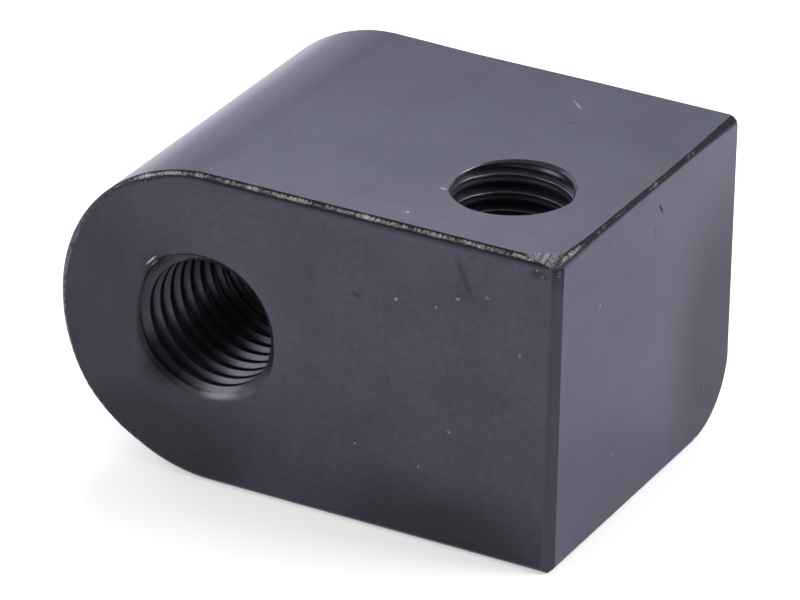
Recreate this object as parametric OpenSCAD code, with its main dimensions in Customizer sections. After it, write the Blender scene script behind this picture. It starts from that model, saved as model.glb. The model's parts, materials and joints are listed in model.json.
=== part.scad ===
// Idler pulley adjusting bar: a short steel bar with a full-round nose.
// The axle thread crosses the nose, and the adjuster thread runs down through the flat end.
// X runs from the axle hole to the flat end, Y across the width and Z up.
// The origin is on the axle hole's axis, halfway across the width.

/* [Bar] */
// Height of the bar, which is also the diameter of its round nose
bar_height = 34; // [32:0.5:50]
// Width of the bar, along the axle hole
bar_width = 40; // [32:0.5:60]
// Distance from the axle hole's axis to the flat end
end_distance = 39; // [34:0.5:80]
// Radius rolled along the lower rear edge, over the whole length
heel_radius = 8; // [2:0.5:9]

/* [Edge breaks] */
// Break round the two side faces, as a 45 degree leg
rim_break = 0.7; // [0.3:0.1:2]
// Break on the upright front edge of the flat end, as a 45 degree leg
corner_break = 1; // [0.3:0.1:2]
// Break on the other edges of the flat end, as a 45 degree leg
end_break = 0.7; // [0.2:0.1:1.5]

/* [Axle hole] */
// Tapping bore of the axle thread, right through the width
axle_bore = 14; // [8:0.1:15]
// Width of the countersunk ring at both mouths of the axle hole
axle_sink = 0.9; // [0.2:0.1:1.8]

/* [Adjuster hole] */
// Tapping bore of the adjuster thread, from top to bottom
adjuster_bore = 12; // [6:0.1:14]
// Width of the broken edge at both mouths of the adjuster hole
adjuster_sink = 0.3; // [0.1:0.1:1]
// Distance from the flat end to the adjuster hole's axis
adjuster_from_end = 11.7; // [9:0.1:18]
// Distance from the front face to the adjuster hole's axis
adjuster_from_front = 13; // [9:0.5:24]

/* [Hidden] */
$fn = 96;
// Length by which a cut runs on past the face that it opens
cut_run = 1;
nose_radius = bar_height / 2;
half_width = bar_width / 2;
heel_axis_y = half_width - heel_radius;
heel_axis_z = heel_radius - nose_radius;
adjuster_x = end_distance - adjuster_from_end;
adjuster_y = adjuster_from_front - half_width;

// Rectangle centred on the origin with its four corners cut off at 45 degrees
module broken_rectangle(wide, high, leg) {
    x = wide / 2;
    y = high / 2;
    polygon([
        [leg - x, -y], [x - leg, -y], [x, leg - y], [x, y - leg],
        [x - leg, y], [leg - x, y], [-x, y - leg], [-x, leg - y]
    ]);
}

// Half-round nose about the axle hole, with the break running round its two rims
module nose() {
    rotate([90, 0, 0])
        rotate([0, 0, 90])
            rotate_extrude(angle = 180)
                intersection() {
                    broken_rectangle(bar_height, bar_width, rim_break);
                    translate([0, -half_width])
                        square([nose_radius, bar_width]);
                }
}

// Straight bar from the axle hole to the flat end, with its long edges broken
module straight_bar() {
    rotate([90, 0, 90])
        linear_extrude(end_distance)
            broken_rectangle(bar_width, bar_height, rim_break);
}

// Square rod, centred on an edge along Z, that cuts a 45 degree break of the given leg
module edge_rod(leg, length) {
    rotate([0, 0, 45])
        cube([leg * sqrt(2), leg * sqrt(2), length], center = true);
}

// What the rolled heel takes off the lower rear edge, with the break at its flat end
module heel_cut() {
    run = nose_radius + end_distance + 2 * cut_run;
    difference() {
        translate([-nose_radius - cut_run, heel_axis_y, -nose_radius - cut_run])
            cube([run, heel_radius + cut_run, heel_radius + cut_run]);
        translate([-nose_radius - 2 * cut_run, heel_axis_y, heel_axis_z])
            rotate([90, 0, 90])
                rotate_extrude()
                    polygon([
                        [0, 0],
                        [heel_radius, 0],
                        [heel_radius, run - end_break],
                        [heel_radius - end_break, run],
                        [0, run]
                    ]);
    }
}

// Breaks on the four straight edges of the flat end
module end_breaks() {
    // The lower one stops where the heel starts
    lower_run = heel_axis_y + half_width + cut_run;
    translate([end_distance, 0, nose_radius])
        rotate([90, 0, 0])
            edge_rod(end_break, bar_width + 2 * cut_run);
    translate([end_distance, heel_axis_y - lower_run / 2, -nose_radius])
        rotate([90, 0, 0])
            edge_rod(end_break, lower_run);
    rear_run = nose_radius - heel_axis_z + cut_run;
    translate([end_distance, half_width, heel_axis_z + rear_run / 2])
        edge_rod(end_break, rear_run);
    translate([end_distance, -half_width, 0])
        edge_rod(corner_break, bar_height + 2 * cut_run);
}

// Tapping bore along Z, centred on the origin, with a 45 degree countersink at both mouths
module tapping_hole(bore, sink, length) {
    cylinder(d = bore, h = length + 2 * cut_run, center = true);
    for (way = [0, 180])
        rotate([way, 0, 0])
            translate([0, 0, length / 2 - sink])
                cylinder(r1 = bore / 2, r2 = bore / 2 + sink + cut_run, h = sink + cut_run);
}

// The bar, all one piece of steel
module adjusting_bar() {
    color([0.20, 0.20, 0.24])
        difference() {
            union() {
                nose();
                straight_bar();
            }
            heel_cut();
            end_breaks();
            rotate([90, 0, 0])
                tapping_hole(axle_bore, axle_sink, bar_width);
            translate([adjuster_x, adjuster_y, 0])
                tapping_hole(adjuster_bore, adjuster_sink, bar_height);
        }
}

adjusting_bar();
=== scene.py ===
"""Studio scene of the idler pulley adjusting bar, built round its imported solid."""
import json
import math

import bmesh
import bpy
from mathutils import Matrix, Quaternion, Vector, noise


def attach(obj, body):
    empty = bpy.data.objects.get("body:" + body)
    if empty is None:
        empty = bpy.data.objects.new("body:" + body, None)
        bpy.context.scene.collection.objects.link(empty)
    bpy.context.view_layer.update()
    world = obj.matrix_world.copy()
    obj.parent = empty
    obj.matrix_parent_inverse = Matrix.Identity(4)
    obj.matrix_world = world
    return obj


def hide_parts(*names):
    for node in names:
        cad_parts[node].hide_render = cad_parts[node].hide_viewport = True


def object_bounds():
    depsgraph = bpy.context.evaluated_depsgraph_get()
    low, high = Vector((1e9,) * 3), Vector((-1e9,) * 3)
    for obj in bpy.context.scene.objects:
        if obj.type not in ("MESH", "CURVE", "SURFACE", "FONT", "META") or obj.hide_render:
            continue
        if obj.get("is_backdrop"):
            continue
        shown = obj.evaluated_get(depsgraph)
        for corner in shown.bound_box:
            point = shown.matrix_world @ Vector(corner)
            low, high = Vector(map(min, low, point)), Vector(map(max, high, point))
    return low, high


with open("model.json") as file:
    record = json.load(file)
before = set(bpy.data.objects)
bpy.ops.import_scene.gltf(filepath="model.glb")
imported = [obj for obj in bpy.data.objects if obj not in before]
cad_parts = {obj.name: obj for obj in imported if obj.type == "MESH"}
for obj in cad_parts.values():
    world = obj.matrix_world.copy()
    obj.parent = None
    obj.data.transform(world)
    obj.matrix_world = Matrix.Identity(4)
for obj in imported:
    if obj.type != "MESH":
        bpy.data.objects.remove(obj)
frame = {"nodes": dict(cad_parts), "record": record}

cad_low, cad_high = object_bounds()
MM = 0.001
END, HALF_WIDTH, NOSE = cad_high.x / MM, cad_high.y / MM, cad_high.z / MM


def linear(code):
    """Linear colour of an sRGB hex code."""
    parts = [int(code[i:i + 2], 16) / 255 for i in (1, 3, 5)]
    return [p / 12.92 if p <= 0.04045 else ((p + 0.055) / 1.055) ** 2.4 for p in parts] + [1.0]


# The bar's ground edges

# Each edge lies between two skins of the bar, and has the leg of its packed break, in mm. A row gives,
# at a place along the edge in mm, how wide the grinding runs on the first and on the second skin, in mm,
# how bare it is rubbed and how dark it is, the dark being partly burnt coat and partly painted shade.
# The rims start at the flat end, run over the top, round the nose and back along the bottom.
EDGES = {
    ("front", "skin"): (0.7, [
        (0, 1.0, 0.9, 1.0, 0.9), (4, 1.0, 0.72, 0.85, 0.9), (30, 1.0, 0.72, 0.85, 0.9),
        (39, 1.0, 0.7, 0.85, 0.9), (46, 0.85, 0.55, 0.8, 0.8), (52, 0.6, 0.45, 0.4, 0.5),
        (60, 0.8, 0.7, 0.1, 0.4), (66, 0.8, 0.8, 0, 0.4), (76, 0.5, 0.5, 0, 0.4),
        (84, 0.9, 0.9, 0, 0.4), (93, 0.7, 0.7, 0, 0.2), (132, 0.7, 0.7, 0, 0.1)]),
    ("rear", "skin"): (0.7, [
        (0, 0.6, 0.7, 0, 0.2), (15, 0.57, 0.6, 0, 0.2), (30, 0.7, 0.7, 0, 0.2), (42, 0.3, 0.3, 0, 0.2),
        (55, 0.3, 0.3, 0, 0.2), (66, 0.7, 0.7, 0, 0.2), (132, 0.7, 0.7, 0, 0.2)]),
    ("end", "skin"): (0.7, [
        (0, 1.0, 1.0, 1.0, 0.9), (2.5, 0.95, 0.9, 0.9, 0.9), (7, 0.6, 0.6, 0.35, 1), (20, 0.5, 0.5, 0.32, 1),
        (30, 0.55, 0.55, 0.3, 1), (34, 0.65, 0.65, 0.15, 1), (38, 0.8, 0.75, 0.05, 1), (40, 0.85, 0.8, 0, 1),
        (100, 0.72, 0.72, 0, 0.2), (140, 0.72, 0.72, 0, 0.2)]),
    ("front", "end"): (1.0, [(-17, 1.0, 1.0, 0, 0.2), (13, 1.0, 1.0, 0, 0.22), (17, 1.0, 1.1, 0.6, 0.8)]),
    ("rear", "end"): (0.7, [(-17, 0.7, 0.75, 0, 0.2), (8, 0.8, 0.85, 0, 0.2), (17, 0.85, 0.85, 0, 0.6)]),
}
# Length of a slice along a straight edge, in mm, and the number of rows across it
GRIND_STEP = 0.4
GRIND_ROWS = 4
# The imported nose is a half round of 53 facets, and each is ground in three slices
NOSE_SLICES = 53 * 3
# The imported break's corners on the nose lie less than this far from the slices, in mm
NOSE_WELD = 0.14
# How far the grinder's hand wavers on the darkest edge, in mm
GRIND_WAVER = 0.02


def depth(co, skin):
    """How far a place, in mm, lies under one of the bar's skins."""
    if skin == "front":
        return co.y + HALF_WIDTH
    if skin == "rear":
        return HALF_WIDTH - co.y
    if skin == "end":
        return END - co.x
    return NOSE - math.hypot(min(co.x, 0), co.z)


def at_depth(co, skin, value):
    """The place moved to a new depth under one skin."""
    if skin == "front":
        return Vector((co.x, value - HALF_WIDTH, co.z))
    if skin == "rear":
        return Vector((co.x, HALF_WIDTH - value, co.z))
    if skin == "end":
        return Vector((END - value, co.y, co.z))
    scale = (NOSE - value) / math.hypot(min(co.x, 0), co.z)
    return Vector((co.x * scale if co.x < 0 else co.x, co.y, co.z * scale))


def run_along(co, pair):
    """Place along an edge, in mm."""
    if pair == ("end", "skin"):
        return co.y + HALF_WIDTH + (0 if co.z > 0 else 100)
    if "end" in pair:
        return co.z
    if co.x >= 0:
        return END - co.x if co.z > 0 else END + math.pi * NOSE + co.x
    return END + NOSE * math.atan2(-co.x, co.z)


def row_at(rows, run):
    """Widths and wear between the two nearest rows."""
    for low, high in zip(rows, rows[1:]):
        if run <= high[0]:
            part = max(0, (run - low[0]) / (high[0] - low[0]))
            return [a + (b - a) * part for a, b in zip(low[1:], high[1:])]
    return rows[-1][1:]


def faces_of_edge(bm, pair, leg):
    """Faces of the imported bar's flat break along an edge."""
    return [face for face in bm.faces if all(
        abs(depth(v.co / MM, pair[0]) + depth(v.co / MM, pair[1]) - leg) < 0.02 for v in face.verts)]


def slice_up(bm, geom, cuts):
    """Cut the given geometry by planes, each a place in mm and a normal."""
    for place, normal in cuts:
        geom = bmesh.ops.bisect_plane(
            bm, geom=geom, plane_co=[c * MM for c in place], plane_no=normal, dist=0.0001 * MM)["geom"]
    return geom


def steps_within(reach):
    """Even places from one side of the bar's origin to the other, in mm."""
    count = math.ceil(reach / GRIND_STEP)
    return [k * GRIND_STEP for k in range(-count, count + 1)]


def on_nose(item):
    """Whether a corner, side or face lies on the round of the nose."""
    corners = [item] if isinstance(item, bmesh.types.BMVert) else item.verts
    return all(v.co.x < 0.01 * MM for v in corners)


def cut_across(bm, pair, leg):
    """Slice an edge's break into short pieces, and each piece into rows."""
    faces = faces_of_edge(bm, pair, leg)
    geom = set(faces)
    for face in faces:
        geom.update(face.edges)
        geom.update(face.verts)
    geom = list(geom)
    if pair == ("end", "skin"):
        slice_up(bm, geom, [((0, y, 0), (0, 1, 0)) for y in steps_within(HALF_WIDTH)])
    elif "end" in pair:
        slice_up(bm, geom, [((0, 0, z), (0, 0, 1)) for z in steps_within(NOSE)])
    else:
        geom = slice_up(bm, geom, [((x, 0, 0), (1, 0, 0)) for x in steps_within(END) if x >= 0])
        turns = [math.pi / 2 - math.pi * k / NOSE_SLICES for k in range(1, NOSE_SLICES)]
        nose = [item for item in geom if on_nose(item)]
        nose = slice_up(bm, nose, [((0, 0, 0), (math.sin(t), 0, math.cos(t))) for t in turns])
        corners = [item for item in nose if isinstance(item, bmesh.types.BMVert)]
        bmesh.ops.remove_doubles(bm, verts=corners, dist=NOSE_WELD * MM)
    across = []
    for edge in {e for f in faces_of_edge(bm, pair, leg) for e in f.edges}:
        ends = [depth(v.co / MM, pair[0]) for v in edge.verts]
        if min(ends) < 0.01 and max(ends) > leg - 0.01:
            across.append(edge)
    bmesh.ops.subdivide_edges(bm, edges=across, cuts=GRIND_ROWS - 1, use_grid_fill=True)


def evened(co):
    """A place on the round of the nose moved along it to the nearest slice."""
    turn = round(math.atan2(-co.x, co.z) * NOSE_SLICES / math.pi) * math.pi / NOSE_SLICES
    reach = math.hypot(co.x, co.z)
    return Vector((-reach * math.sin(turn), co.y, reach * math.cos(turn)))


def ground_curve(t):
    """Depths across a ground edge: leaves the second skin at an angle and rounds into the first."""
    a, b, c, d = (1 - t) ** 3, 3 * t * (1 - t) ** 2, 3 * t * t * (1 - t), t ** 3
    return a + 0.7 * b, 0.3 * b + 0.62 * c + d


def grind(bm, kind):
    """Give every edge its hand-ground width, and mark its faces with the edge's number."""
    pairs = list(EDGES)
    for pair in pairs:
        cut_across(bm, pair, EDGES[pair][0])
    for number, pair in enumerate(pairs, 1):
        for face in faces_of_edge(bm, pair, EDGES[pair][0]):
            face[kind] = number
    for number, pair in enumerate(pairs, 1):
        leg, rows = EDGES[pair]
        for corner in {v for f in bm.faces if f[kind] == number for v in f.verts}:
            co = corner.co / MM
            first, second = depth(co, pair[0]), depth(co, pair[1])
            across = min(max(second / (first + second), 0), 1)
            if co.x < 0:
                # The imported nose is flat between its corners, so both places go back to their even steps
                co = evened(co)
                across = round(across * GRIND_ROWS) / GRIND_ROWS
            run = run_along(co, pair)
            wide_first, wide_second, bare, dark = row_at(rows, run)
            near, far = ground_curve(across)
            waver = noise.noise(Vector((run * 0.9, across * 3, number * 7.3)))
            waver += 0.5 * noise.noise(Vector((run * 2.7, across * 5, number * 3.1)))
            waver *= GRIND_WAVER * dark
            co = at_depth(co, pair[0], near * (wide_second + 2 * waver))
            co = at_depth(co, pair[1], far * (wide_first + 2 * waver))
            corner.co = co * MM


def cut_facet(bm, kind, number, place, normal):
    """Grind one flat off a corner."""
    bmesh.ops.bisect_plane(
        bm, geom=bm.verts[:] + bm.edges[:] + bm.faces[:], clear_outer=True,
        plane_co=Vector(place) * MM, plane_no=Vector(normal), dist=0.0001 * MM)
    filled = bmesh.ops.holes_fill(bm, edges=[e for e in bm.edges if e.is_boundary], sides=0)
    for face in filled["faces"]:
        face[kind] = number


# The front corner is ground to one flat, and the far corner to a few flats about a radius in mm
CORNER_FACET = len(EDGES) + 1
CORNER_PLACE = (34.7, -19.3, 17)
CORNER_WAY = (0.144, -0.265, 0.953)
FAR_FACET = len(EDGES) + 2
FAR_RADIUS = 1.1
FAR_WAYS = [(0.58, 0.58, 0.58), (0.82, 0.4, 0.4), (0.4, 0.82, 0.4), (0.4, 0.4, 0.82)]


def grind_bar(bar):
    """Grind the bar's edges and its upper corners by hand."""
    bm = bmesh.new()
    bm.from_mesh(bar.data)
    kind = bm.faces.layers.int.new("ground_edge")
    grind(bm, kind)
    cut_facet(bm, kind, CORNER_FACET, CORNER_PLACE, CORNER_WAY)
    far_middle = Vector((END - FAR_RADIUS, HALF_WIDTH - FAR_RADIUS, NOSE - FAR_RADIUS))
    for way in FAR_WAYS:
        way = Vector(way).normalized()
        cut_facet(bm, kind, FAR_FACET, far_middle + FAR_RADIUS * way, way)
    place = bm.loops.layers.float_vector.new("edge_place")
    dark = bm.loops.layers.float.new("edge_dark")
    pairs = list(EDGES)
    for face in bm.faces:
        number = face[kind]
        face.material_index = 1 if number else 0
        for loop in face.loops:
            co = loop.vert.co / MM
            if 0 < number <= len(pairs):
                pair = pairs[number - 1]
                first, second = depth(co, pair[0]), depth(co, pair[1])
                run = run_along(co, pair)
                row = row_at(EDGES[pair][1], run)
                loop[place] = (run, second / max(first + second, 0.001), row[2])
                loop[dark] = row[3]
            elif number:
                loop[place] = (co.x, 0.4, 1.1 if number == CORNER_FACET else 0.0)
                loop[dark] = 1.0
    bm.to_mesh(bar.data)
    bm.free()


# The threads

THREAD_PITCH = 2.0
STEPS_PER_TURN = 72
FLANK_SLOPE = math.tan(math.radians(30))
# Radius along a crest's two edges, and how far inside them the hollow starts, in mm
CREST_ROUND = 0.13
CREST_LIP = 0.15
# The plug runs on past both ends of its hole by this much, in mm
PLUG_RUN_ON = 1


def thread_plug(crest, root, length, hand, crest_angle, crest_height, runout, flat, dip):
    """Solid screw along Z, centred on the origin, that cuts a thread out of a bore.

    The hand is 1 for a right-hand thread and -1 for a left-hand one. The middle of a crest lies at
    crest_angle, in degrees, and crest_height, in mm. Within runout of each end the ridges sink into
    the crest, so the mouth of the hole stays round. Each crest is flat for the given width, in mm,
    and hollow along its middle by dip."""
    flank = (root - crest) * FLANK_SLOPE
    outline = [(crest + dip, 0), (crest, flat / 2 - CREST_LIP)]
    for turn in (0, 20, 40, 60):
        turn = math.radians(turn)
        outline.append((
            crest + CREST_ROUND * (1 - math.cos(turn)),
            flat / 2 + CREST_ROUND * (math.sin(turn) - FLANK_SLOPE)))
    outline.append((root, flat / 2 + flank))
    outline += [(r, THREAD_PITCH - h) for r, h in reversed(outline)]
    bm = bmesh.new()
    chain = [bm.verts.new((r * MM, 0, z * MM)) for r, z in outline]
    ribs = [bm.edges.new(pair) for pair in zip(chain, chain[1:])]
    bmesh.ops.spin(
        bm, geom=chain + ribs, axis=(0, 0, 1), angle=2 * math.pi, steps=STEPS_PER_TURN,
        dvec=(0, 0, hand * THREAD_PITCH * MM / STEPS_PER_TURN))
    one_turn = bm.verts[:] + bm.edges[:] + bm.faces[:]
    half_turns = math.ceil(length / THREAD_PITCH / 2) + 2
    for turn in range(-half_turns, half_turns):
        copy = bmesh.ops.duplicate(bm, geom=one_turn)["geom"]
        corners = [v for v in copy if isinstance(v, bmesh.types.BMVert)]
        bmesh.ops.translate(bm, verts=corners, vec=(0, 0, turn * THREAD_PITCH * MM))
    bmesh.ops.delete(bm, geom=[v for v in one_turn if isinstance(v, bmesh.types.BMVert)], context="VERTS")
    bmesh.ops.remove_doubles(bm, verts=bm.verts, dist=0.001 * MM)
    turned = math.radians(crest_angle) - hand * 2 * math.pi * crest_height / THREAD_PITCH
    bmesh.ops.rotate(bm, verts=bm.verts, matrix=Matrix.Rotation(turned, 3, "Z"))
    for corner in bm.verts:
        under = length / 2 - abs(corner.co.z) / MM
        if under < runout:
            keep = max(under / runout, 0)
            radius = corner.co.xy.length
            sunk = crest * MM + (radius - crest * MM) * keep * keep * (3 - 2 * keep)
            corner.co.xy *= sunk / radius
    for side in (-1, 1):
        bmesh.ops.bisect_plane(
            bm, geom=bm.verts[:] + bm.edges[:] + bm.faces[:], clear_outer=True,
            plane_co=(0, 0, side * (length / 2 + PLUG_RUN_ON) * MM), plane_no=(0, 0, side))
    bmesh.ops.holes_fill(bm, edges=[e for e in bm.edges if e.is_boundary], sides=0)
    bmesh.ops.recalc_face_normals(bm, faces=bm.faces)
    return bm


def new_object(name, bm):
    """Object holding the finished mesh."""
    mesh = bpy.data.meshes.new(name)
    bm.to_mesh(mesh)
    bm.free()
    obj = bpy.data.objects.new(name, mesh)
    bpy.context.scene.collection.objects.link(obj)
    return obj


def cut_thread(bar, plug):
    """Take the plug out of the bar, then drop the plug."""
    cut = bar.modifiers.new("thread", "BOOLEAN")
    cut.operation = "DIFFERENCE"
    cut.solver = "EXACT"
    cut.object = plug
    whole = bpy.data.meshes.new_from_object(bar.evaluated_get(bpy.context.evaluated_depsgraph_get()))
    bar.modifiers.clear()
    bar.data = whole
    bpy.data.objects.remove(plug)


def welded_bar():
    """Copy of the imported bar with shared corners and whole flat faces."""
    bm = bmesh.new()
    bm.from_mesh(frame["nodes"]["adjusting_bar"].data)
    bmesh.ops.remove_doubles(bm, verts=bm.verts, dist=0.001 * MM)
    bmesh.ops.dissolve_limit(bm, angle_limit=math.radians(0.3), verts=bm.verts, edges=bm.edges)
    return bm


# Radius of the adjuster hole's packed mouth and how deep and wide the hand tool reached, in mm;
# then the radius of its upper mouth, in mm, by angle from +X towards +Y
ADJUSTER_ROUND, ADJUSTER_DEEP, ADJUSTER_REACH = 6.3, 1.2, 7.2
ADJUSTER_MOUTH = [
    (0, 6.3), (20, 6.05), (45, 6.4), (70, 6.75), (95, 6.8), (120, 6.65), (145, 6.35), (165, 6.1),
    (200, 6.1), (215, 6.5), (255, 6.55), (280, 6.3), (300, 6.15), (330, 6.1), (360, 6.3)]
# The same for the axle hole's front mouth, by angle from +X towards +Z
AXLE_ROUND, AXLE_DEEP, AXLE_REACH = 7.9, 0.9, 8.5
AXLE_MOUTH = [
    (0, 7.87), (90, 7.95), (110, 8.1), (128, 8.4), (145, 8.25), (160, 7.9), (180, 7.87), (190, 7.95),
    (201, 8.1), (212, 8.25), (235, 8.05), (262, 7.98), (307, 7.98), (320, 8.1), (337, 8.1), (347, 8.0),
    (360, 7.87)]
# How far the axle hole starts off its axis at the front, in mm; it runs true at the rear
AXLE_MOUTH_OFF = Vector((-0.03, 0, 0.28))


def shape_mouths(bar):
    """Set the two mouths in view off their round, as they were hand-countersunk."""
    adjuster = Vector(mounts["adjuster_thread"]["pos_m"]) / MM
    for corner in bar.data.vertices:
        co = corner.co / MM
        deep = co.y + HALF_WIDTH
        if math.hypot(co.x, co.z) < AXLE_REACH:
            angle = math.degrees(math.atan2(co.z, co.x)) % 360
            wider = (row_at(AXLE_MOUTH, angle)[0] / AXLE_ROUND - 1) * max(1 - deep / AXLE_DEEP, 0)
            co += Vector((co.x, 0, co.z)) * wider + AXLE_MOUTH_OFF * (1 - deep / (2 * HALF_WIDTH))
        deep = NOSE - co.z
        off = (co - adjuster).xy
        if deep < ADJUSTER_DEEP and off.length < ADJUSTER_REACH:
            angle = math.degrees(math.atan2(off.y, off.x)) % 360
            wider = row_at(ADJUSTER_MOUTH, angle)[0] / ADJUSTER_ROUND - 1
            co.xy += off * wider * (1 - deep / ADJUSTER_DEEP)
        corner.co = co * MM


bar = new_object("threaded_bar", welded_bar())
if "custom_normal" in bar.data.attributes:
    bar.data.attributes.remove(bar.data.attributes["custom_normal"])
mounts = {mount["name"]: mount for mount in frame["record"]["mounts"]}
axle_plug = thread_plug(
    crest=7.02, root=7.85, length=2 * HALF_WIDTH, hand=-1,
    crest_angle=180, crest_height=HALF_WIDTH - 1.55, runout=0.01, flat=0.66, dip=0)
bmesh.ops.rotate(axle_plug, verts=axle_plug.verts, matrix=Matrix.Rotation(math.pi / 2, 3, "X"))
bmesh.ops.translate(axle_plug, verts=axle_plug.verts, vec=mounts["axle_thread"]["pos_m"])
cut_thread(bar, new_object("axle_plug", axle_plug))
adjuster_plug = thread_plug(
    crest=6.02, root=6.75, length=2 * NOSE, hand=1,
    crest_angle=150, crest_height=NOSE - 1.6, runout=0.5, flat=0.85, dip=0.08)
bmesh.ops.translate(adjuster_plug, verts=adjuster_plug.verts, vec=mounts["adjuster_thread"]["pos_m"])
cut_thread(bar, new_object("adjuster_plug", adjuster_plug))
shape_mouths(bar)
grind_bar(bar)

bar.data.shade_smooth()
bar.data.set_sharp_from_angle(angle=math.radians(32))
weights = bar.modifiers.new("flat_faces_lead", "WEIGHTED_NORMAL")
weights.keep_sharp = True
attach(bar, "root")
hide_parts("adjusting_bar")


# Materials

def add_node(tree, kind, sockets=(), **settings):
    """Add a node, with its settings, and fill or link its sockets."""
    made = tree.nodes.new("ShaderNode" + kind)
    for name, value in settings.items():
        setattr(made, name, value)
    for key, value in dict(sockets).items():
        if isinstance(value, bpy.types.NodeSocket):
            tree.links.new(value, made.inputs[key])
        else:
            made.inputs[key].default_value = value
    return made


def new_material(name):
    """Material, its node tree and its shader."""
    made = bpy.data.materials.new(name)
    made.use_nodes = True
    return made, made.node_tree, made.node_tree.nodes["Principled BSDF"]


# Tint of the light that the blackened skin gives back
BLUED = "#e8e8ff"

# Small marks on the coat: centre and half sizes in mm, turn in degrees, amount. Among the chips, smudges and
# rust are painted highlights and painted shade, noted where they stand.
WEAR_AND_PAINTED_GLINTS = [
    ((23.8, 13.5, 17), (1.3, 0.12, 0.4), (0, 0, -42), 0.6),
    ((20.9, -17.0, 17), (0.22, 0.25, 0.4), (0, 0, 0), 0.45),
    ((39, -10.9, 8.8), (0.4, 0.22, 0.22), (0, 0, 0), 0.35),
    ((39, -7.0, -9.4), (0.4, 0.2, 0.2), (0, 0, 0), 0.3),
    ((21.4, -20, 9.0), (0.22, 0.4, 0.2), (0, 0, 0), 0.35),
    ((28.1, -20, 10.7), (0.3, 0.4, 0.16), (0, 0, 0), 0.3),
    ((25.8, -20, 9.2), (0.16, 0.4, 0.2), (0, 0, 0), 0.25),
    ((31.4, -20, 11.6), (0.3, 0.4, 0.14), (0, 0, 0), 0.2),
    ((35.0, -20, 6.3), (0.16, 0.4, 0.2), (0, 0, 0), 0.25),
    ((27.5, -20, -4.0), (0.3, 0.4, 0.16), (0, 20, 0), 0.25),
    ((17.1, -20, -8.0), (0.2, 0.4, 0.16), (0, 0, 0), 0.25),
    ((24.2, -20, -8.7), (0.14, 0.4, 0.24), (0, 0, 0), 0.25),
    ((-6.2, -20, 6.3), (1.0, 0.5, 0.12), (0, -46, 0), 0.8),
    ((-5.9, -19.9, 6.0), (0.7, 0.5, 0.08), (0, -46, 0), 0.5),
    ((21.4, -10.6, 17), (0.5, 0.2, 0.4), (0, 0, 0), 0.5),
    # Painted highlights: glints along the upper edges of two adjuster crests, set as pale steel
    ((22.24, -3.72, 15.7), (1.3, 0.3, 0.14), (0, 0, 57), 0.4),
    ((22.24, -3.72, 13.7), (1.3, 0.3, 0.14), (0, 0, 57), 0.4),
    ((37.2, -20, 15.3), (0.2, 0.4, 0.15), (0, 0, 0), 0.2),
    ((36.6, -20, 15.9), (0.15, 0.4, 0.2), (0, 0, 0), 0.2),
    ((1.5, -19.4, -7.1), (3.6, 0.6, 0.6), (0, -10, 0), 0.3),
]
SMUDGES_AND_PAINTED_SHADE = [
    ((25.2, 9.4, 17), (0.8, 0.16, 0.4), (0, 0, 19), 0.5),
    ((39, 2.0, 13.9), (0.4, 0.22, 1.0), (35, 0, 0), 0.9),
    ((39, 0.9, 11.9), (0.4, 0.16, 1.1), (8, 0, 0), 0.4),
    ((39, 13.1, -10.8), (0.4, 0.3, 0.6), (-35, 0, 0), 0.8),
    ((28.8, -20, 13.2), (0.5, 0.5, 3.2), (0, -22, 0), 0.35),
    ((17.0, -20, 8.3), (0.9, 0.5, 0.4), (0, 20, 0), 0.4),
    # Painted shade on the front face and countersink up and left of the axle hole's mouth, and down the
    # hole's lower-left wall
    ((-5.0, -19.7, 5.0), (3.9, 0.75, 3.9), (0, 0, 0), 0.85),
    ((-7.0, -19.8, -2.0), (2.0, 0.7, 5.2), (0, 0, 0), 0.6),
    ((-5.2, -18.6, -5.0), (4.4, 3.2, 4.8), (0, 0, 0), 0.9),
    ((-4.6, -10, -5.2), (3.8, 13, 4.6), (0, 0, 0), 0.75),
    ((36.9, -20, 15.5), (1.4, 0.6, 0.7), (0, 0, 0), 0.5),
    # Painted shade: the front face darker towards the bottom and towards the nose, the end face darker
    # towards the rear and the bottom
    ((-6, -20, -14), (17, 2, 10), (0, 0, 0), 0.55),
    ((28, -20, -16), (18, 2, 8), (0, 0, 0), 0.55),
    ((39, 16, -6), (2, 13, 20), (0, 0, 0), 0.45),
    ((-13, -20, 0), (14, 2, 20), (0, 0, 0), 0.35),
]
RUST_MARKS = [
    ((-2.5, -19.8, -6.9), (1.3, 0.6, 0.3), (0, 20, 0), 0.6),
    ((-0.6, -19.8, -7.4), (1.5, 0.6, 0.25), (0, 5, 0), 0.5),
    ((37.4, -20, 15.8), (0.7, 0.8, 0.5), (0, 0, 0), 0.4),
    ((38.2, -19.9, 15.4), (0.4, 0.8, 0.5), (0, 0, 0), 0.5),
    ((35.1, -20, 4.2), (0.9, 0.5, 0.9), (0, 0, 0), 0.15),
    ((10.4, -20, -7.6), (0.9, 0.5, 0.9), (0, 0, 0), 0.15),
    ((39, -9.5, 14.6), (0.5, 1.0, 0.4), (-10, 0, 0), 0.4),
    ((39, -17.8, 3.7), (0.5, 0.5, 1.4), (0, 0, 0), 0.3),
]


def millimetres(tree):
    """Place on the bar in mm."""
    spot = add_node(tree, "TexCoord")
    sized = add_node(tree, "VectorMath", {0: spot.outputs["Object"], "Scale": 1 / MM}, operation="SCALE")
    return sized.outputs[0]


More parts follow.
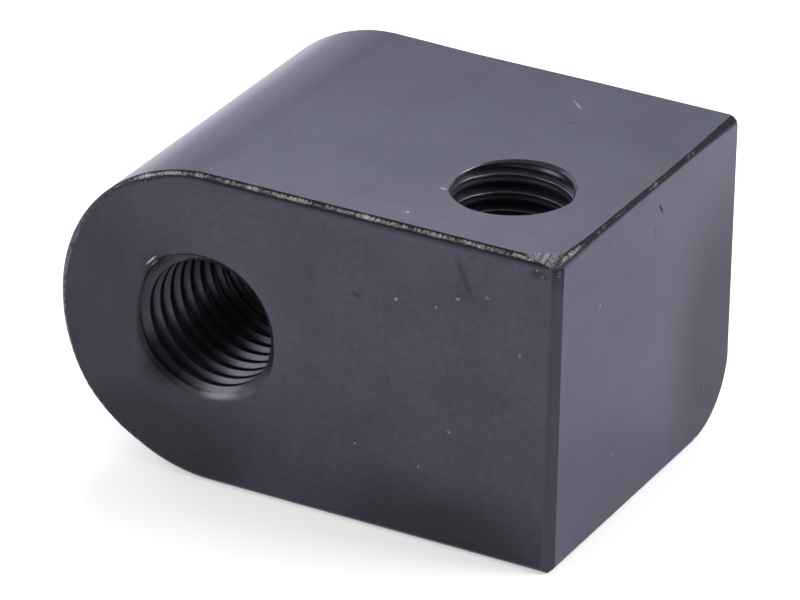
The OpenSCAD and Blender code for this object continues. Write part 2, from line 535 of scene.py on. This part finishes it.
def mask_of(tree, place, marks):
    """Soft-edged patches where the marks lie."""
    total = None
    for centre, half, turn, amount in marks:
        near = add_node(tree, "Mapping", {
            "Vector": place, "Location": centre, "Rotation": [math.radians(t) for t in turn], "Scale": half},
            vector_type="TEXTURE")
        ball = add_node(tree, "TexGradient", {"Vector": near.outputs[0]}, gradient_type="SPHERICAL")
        level = add_node(tree, "MapRange", {"Value": ball.outputs["Fac"], "From Max": 0.6, "To Max": amount})
        total = level if total is None else add_node(
            tree, "Math", {0: total.outputs[0], 1: level.outputs[0]}, operation="MAXIMUM")
    return total.outputs[0]


# Sizes on the coat in mm: mottle, broad clouds, rolling streaks along X and across, the wander of
# the marks' outlines and how far they wander
MOTTLE = 1 / 1.3
CLOUD = 1 / 0.14
STREAK_LONG, STREAK_WIDE = 1 / 0.3, 1 / 4
WANDER, WANDER_BY = 1 / 4, 0.35

# Blackened steel: a thin satin blue-black coat that shows the studio softly and goes pale at a low angle
coat, tree, shader = new_material("blackened_steel")
place = millimetres(tree)
mottle = add_node(tree, "TexNoise", {
    "Vector": place, "Scale": 1 / MOTTLE, "Detail": 2, "Roughness": 0.5}).outputs["Fac"]
cloud = add_node(tree, "TexNoise", {"Vector": place, "Scale": 1 / CLOUD, "Detail": 2}).outputs["Fac"]
rolled = add_node(tree, "Mapping", {
    "Vector": place, "Scale": (1 / STREAK_LONG, 1 / STREAK_WIDE, 1 / STREAK_WIDE)}).outputs[0]
streak = add_node(tree, "TexNoise", {"Vector": rolled, "Scale": 1, "Detail": 3}).outputs["Fac"]
wander = add_node(tree, "TexNoise", {"Vector": place, "Scale": 1 / WANDER, "Detail": 2}).outputs["Color"]
ragged = add_node(tree, "VectorMath", {
    0: wander, 1: [WANDER_BY] * 3, 2: place}, operation="MULTIPLY_ADD").outputs[0]
ragged = add_node(tree, "VectorMath", {0: ragged, 1: [WANDER_BY / 2] * 3}, operation="SUBTRACT").outputs[0]
bare = mask_of(tree, ragged, WEAR_AND_PAINTED_GLINTS)
# The adjuster thread's crests carry a pale line along their two edges: partly rubbed steel, partly a painted
# highlight
middle = [-c / MM for c in mounts["adjuster_thread"]["pos_m"]]
crest = mounts["adjuster_thread"]["dims"]["r_mm"] + 0.02
round_it = add_node(tree, "VectorMath", {0: place, 1: middle}, operation="ADD").outputs[0]
round_it = add_node(tree, "VectorMath", {0: round_it, 1: (1, 1, 0)}, operation="MULTIPLY").outputs[0]
round_it = add_node(tree, "VectorMath", {0: round_it}, operation="LENGTH").outputs["Value"]
inner = add_node(tree, "MapRange", {
    "Value": round_it, "From Min": crest + 0.003, "From Max": crest + 0.012}).outputs[0]
outer = add_node(tree, "MapRange", {
    "Value": round_it, "From Min": crest + 0.05, "From Max": crest + 0.09,
    "To Min": 0.12, "To Max": 0}).outputs[0]
rubbed = add_node(tree, "Math", {0: inner, 1: outer}, operation="MULTIPLY").outputs[0]
bare = add_node(tree, "Math", {0: bare, 1: rubbed}, operation="MAXIMUM").outputs[0]
dark = mask_of(tree, ragged, SMUDGES_AND_PAINTED_SHADE)
rust = mask_of(tree, ragged, RUST_MARKS)
tone = add_node(tree, "Math", {0: mottle, 1: cloud}, operation="ADD").outputs[0]
tone = add_node(tree, "Math", {0: streak, 1: 0.12, 2: tone}, operation="MULTIPLY_ADD").outputs[0]
tone = add_node(tree, "MapRange", {"Value": tone, "From Min": 0.73, "From Max": 1.38}).outputs[0]
colour = add_node(tree, "Mix", {
    0: tone, 6: linear("#36363f"), 7: linear("#41414c")}, data_type="RGBA").outputs[2]
# Smudges and painted shade go near black, rust goes brown, chips, rubbed edges and painted highlights go
# pale steel
for amount, code in ((dark, "#0c0c0e"), (rust, "#4c382c"), (bare, "#b4b4b8")):
    colour = add_node(tree, "Mix", {0: amount, 6: colour, 7: linear(code)}, data_type="RGBA").outputs[2]
tree.links.new(colour, shader.inputs["Base Color"])
# Rust, smudges and painted shade make the coat less metallic and rougher; smudges and painted shade also
# lower its specular level
rust_smudges_and_shade = add_node(tree, "Math", {0: rust, 1: dark}, operation="MAXIMUM").outputs[0]
metal = add_node(tree, "MapRange", {"Value": rust_smudges_and_shade, "To Min": 0.7, "To Max": 0.1}).outputs[0]
tree.links.new(metal, shader.inputs["Metallic"])
gloss = add_node(tree, "MapRange", {
    "Value": mottle, "From Min": 0.3, "From Max": 0.7, "To Min": 0.28, "To Max": 0.3})
gloss = add_node(tree, "Mix", {0: rust_smudges_and_shade, 2: gloss.outputs[0], 3: 0.7}).outputs[0]
tree.links.new(gloss, shader.inputs["Roughness"])
sheen = add_node(tree, "MapRange", {"Value": dark, "To Min": 0.5, "To Max": 0.15}).outputs[0]
tree.links.new(sheen, shader.inputs["Specular IOR Level"])
shader.inputs["Specular Tint"].default_value = linear(BLUED)
relief = add_node(tree, "Bump", {"Height": mottle, "Strength": 0.05, "Distance": 0.015 * MM}).outputs[0]
tree.links.new(relief, shader.inputs["Normal"])

# Sizes on the ground edges in mm: scores along the edge, patches of wear and grain
SCORE, PATCH, GRAIN = 1 / 3.6, 1 / 0.4, 1 / 5

# Ground edge: grinder scores across the edge, rubbed to bare steel along its middle, burnt coat beside it;
# the burnt coat's dark colour is partly painted shade along the edge
ground, tree, shader = new_material("ground_edge_steel")
place = millimetres(tree)
edge = add_node(tree, "Attribute", attribute_name="edge_place").outputs["Vector"]
burnt_and_shade = add_node(tree, "Attribute", attribute_name="edge_dark").outputs["Fac"]
parts = add_node(tree, "SeparateXYZ", {0: edge})
scored = add_node(tree, "Mapping", {"Vector": edge, "Scale": (1 / SCORE, 1.3, 0)}).outputs[0]
score = add_node(tree, "TexNoise", {
    "Vector": scored, "Scale": 1, "Detail": 3, "Roughness": 0.6}).outputs["Fac"]
patchy = add_node(tree, "Mapping", {"Vector": edge, "Scale": (1 / PATCH, 0.6, 0)}).outputs[0]
patch = add_node(tree, "TexNoise", {"Vector": patchy, "Scale": 1, "Detail": 2}).outputs["Fac"]
grain = add_node(tree, "TexNoise", {
    "Vector": place, "Scale": 1 / GRAIN, "Detail": 3, "Roughness": 0.65}).outputs["Fac"]
rough = add_node(tree, "Math", {0: grain, 1: score}, operation="ADD").outputs[0]
rough = add_node(tree, "Math", {0: rough, 1: patch}, operation="ADD").outputs[0]
across = add_node(tree, "Math", {
    0: score, 1: 0.3, 2: parts.outputs["Y"]}, operation="MULTIPLY_ADD").outputs[0]
burnt_and_shade_fade = add_node(tree, "MapRange", {
    "Value": parts.outputs["Y"], "From Min": 0.85, "From Max": 1, "To Min": 1, "To Max": 0})
burnt_and_shade = add_node(tree, "Math", {0: burnt_and_shade, 1: burnt_and_shade_fade.outputs[0]}, operation="MULTIPLY").outputs[0]
middle = add_node(tree, "Math", {0: across, 1: 0.55}, operation="SUBTRACT").outputs[0]
middle = add_node(tree, "Math", {0: middle}, operation="ABSOLUTE").outputs[0]
middle = add_node(tree, "MapRange", {
    "Value": middle, "From Min": 0.08, "From Max": 0.32, "To Min": 1, "To Max": 0}).outputs[0]
rubbed = add_node(tree, "Math", {0: middle, 1: parts.outputs["Z"]}, operation="MULTIPLY").outputs[0]
rubbed = add_node(tree, "Math", {0: rubbed, 1: rough}, operation="ADD").outputs[0]
rubbed = add_node(tree, "MapRange", {"Value": rubbed, "From Min": 1.85, "From Max": 2.5}).outputs[0]
steel = add_node(tree, "MapRange", {"Value": rough, "From Min": 1.25, "From Max": 1.8}).outputs[0]
steel = add_node(tree, "Mix", {
    0: steel, 6: linear("#46464a"), 7: linear("#a2a2a4")}, data_type="RGBA").outputs[2]
# Dark colour across the edge, fading out next to its first skin: partly burnt coat, partly painted shade
soot_and_shade = add_node(tree, "MapRange", {
    "Value": parts.outputs["Y"], "From Min": 0.7, "From Max": 1, "To Min": 1, "To Max": 0}).outputs[0]
soot_and_shade = add_node(tree, "Math", {0: burnt_and_shade, 1: soot_and_shade}, operation="MINIMUM").outputs[0]
colour = add_node(tree, "Mix", {
    0: soot_and_shade, 6: linear("#3b3b45"), 7: linear("#121215")}, data_type="RGBA").outputs[2]
colour = add_node(tree, "Mix", {0: rubbed, 6: colour, 7: steel}, data_type="RGBA").outputs[2]
tree.links.new(colour, shader.inputs["Base Color"])
metal = add_node(tree, "MapRange", {"Value": soot_and_shade, "To Min": 0.7, "To Max": 0.3}).outputs[0]
metal = add_node(tree, "Mix", {0: rubbed, 2: metal, 3: 0.85}).outputs[0]
tree.links.new(metal, shader.inputs["Metallic"])
gloss = add_node(tree, "MapRange", {"Value": burnt_and_shade, "To Min": 0.28, "To Max": 0.6}).outputs[0]
tree.links.new(gloss, shader.inputs["Roughness"])
sheen = add_node(tree, "MapRange", {"Value": burnt_and_shade, "To Min": 0.5, "To Max": 0.2}).outputs[0]
tree.links.new(sheen, shader.inputs["Specular IOR Level"])
shader.inputs["Specular Tint"].default_value = linear(BLUED)
relief = add_node(tree, "Bump", {"Height": rough, "Strength": burnt_and_shade, "Distance": 0.04 * MM}).outputs[0]
tree.links.new(relief, shader.inputs["Normal"])

bar.data.materials.append(coat)
bar.data.materials.append(ground)


# Floor, light and camera

# How far the paper is lifted, as emission strength
PAPER_LIFT = 0.33
FLOOR_HALF = 2.0

# White paper: lit by the lamps, and lifted to white for the eye and for the bar's satin coat alike
paper, tree, shader = new_material("white_paper")
shader.inputs["Base Color"].default_value = linear("#fafafa")
shader.inputs["Roughness"].default_value = 0.9
paths = add_node(tree, "LightPath")
shader.inputs["Emission Color"].default_value = (1, 1, 1, 1)
seen = paths.outputs["Is Camera Ray"]
for ray in ("Is Glossy Ray", "Is Transmission Ray"):
    seen = add_node(tree, "Math", {0: seen, 1: paths.outputs[ray]}, operation="MAXIMUM").outputs[0]
lift = add_node(tree, "Math", {0: seen, 1: PAPER_LIFT}, operation="MULTIPLY")
tree.links.new(lift.outputs[0], shader.inputs["Emission Strength"])
floor_mesh = bmesh.new()
bmesh.ops.create_grid(floor_mesh, x_segments=1, y_segments=1, size=FLOOR_HALF)
bmesh.ops.translate(floor_mesh, verts=floor_mesh.verts, vec=(0, 0, cad_low.z))
floor = new_object("white_floor", floor_mesh)
floor.data.materials.append(paper)
floor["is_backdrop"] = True

# Direction from straight behind the bar, clockwise from above, and height, in degrees;
# then distance and sides in metres, and glow as radiance
SOFTBOXES = [
    ("front_softbox", 215, 26, 0.9, (0.45, 0.45), 4.6),
    ("right_softbox", 60, 25, 0.9, (0.7, 0.6), 6.3),
    ("nose_softbox", 270, 25, 0.8, (0.6, 0.5), 1.8),
    ("back_softbox", 330, 43, 0.6, (0.24, 0.24), 5.4),
    ("left_softbox", 310, 15, 0.6, (0.4, 0.26), 0.8),
]
for name, turn, rise, away, (wide, high), glow in SOFTBOXES:
    lamp = bpy.data.lights.new(name, "AREA")
    lamp.shape = "RECTANGLE"
    lamp.size, lamp.size_y = wide, high
    lamp.energy = glow * math.pi * wide * high
    stand = bpy.data.objects.new(name, lamp)
    turn, rise = math.radians(turn), math.radians(rise)
    stand.location = away * Vector((
        math.sin(turn) * math.cos(rise), math.cos(turn) * math.cos(rise), math.sin(rise)))
    stand.rotation_euler = (-stand.location).to_track_quat("-Z", "Y").to_euler()
    bpy.context.scene.collection.objects.link(stand)

world = bpy.data.worlds.new("studio")
bpy.context.scene.world = world
world.use_nodes = True
# An even grey room round the bar
room = world.node_tree.nodes["Background"]
room.inputs["Color"].default_value = (1, 1, 1, 1)
room.inputs["Strength"].default_value = 0.44

# The camera was solved from the bar's edges: turns in radians, place in metres, focal length in pixels
AZIMUTH, ELEVATION, ROLL = math.radians(28.055), math.radians(26.611), math.radians(1.097)
CAMERA_PLACE = Vector((0.27009, -0.48582, 0.27345))
PICTURE_WIDTH = 800
FOCAL_PIXELS = 6087
look = Vector((
    -math.sin(AZIMUTH) * math.cos(ELEVATION), math.cos(AZIMUTH) * math.cos(ELEVATION), -math.sin(ELEVATION)))
lens = bpy.data.cameras.new("camera")
lens.sensor_fit = "HORIZONTAL"
lens.sensor_width = 36
lens.lens = FOCAL_PIXELS / PICTURE_WIDTH * lens.sensor_width
camera = bpy.data.objects.new("camera", lens)
camera.location = CAMERA_PLACE
camera.rotation_mode = "QUATERNION"
camera.rotation_quaternion = look.to_track_quat("-Z", "Y") @ Quaternion((0, 0, 1), ROLL)
bpy.context.scene.collection.objects.link(camera)
bpy.context.scene.camera = camera
bpy.context.scene.view_settings.view_transform = "Standard"

low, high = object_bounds()
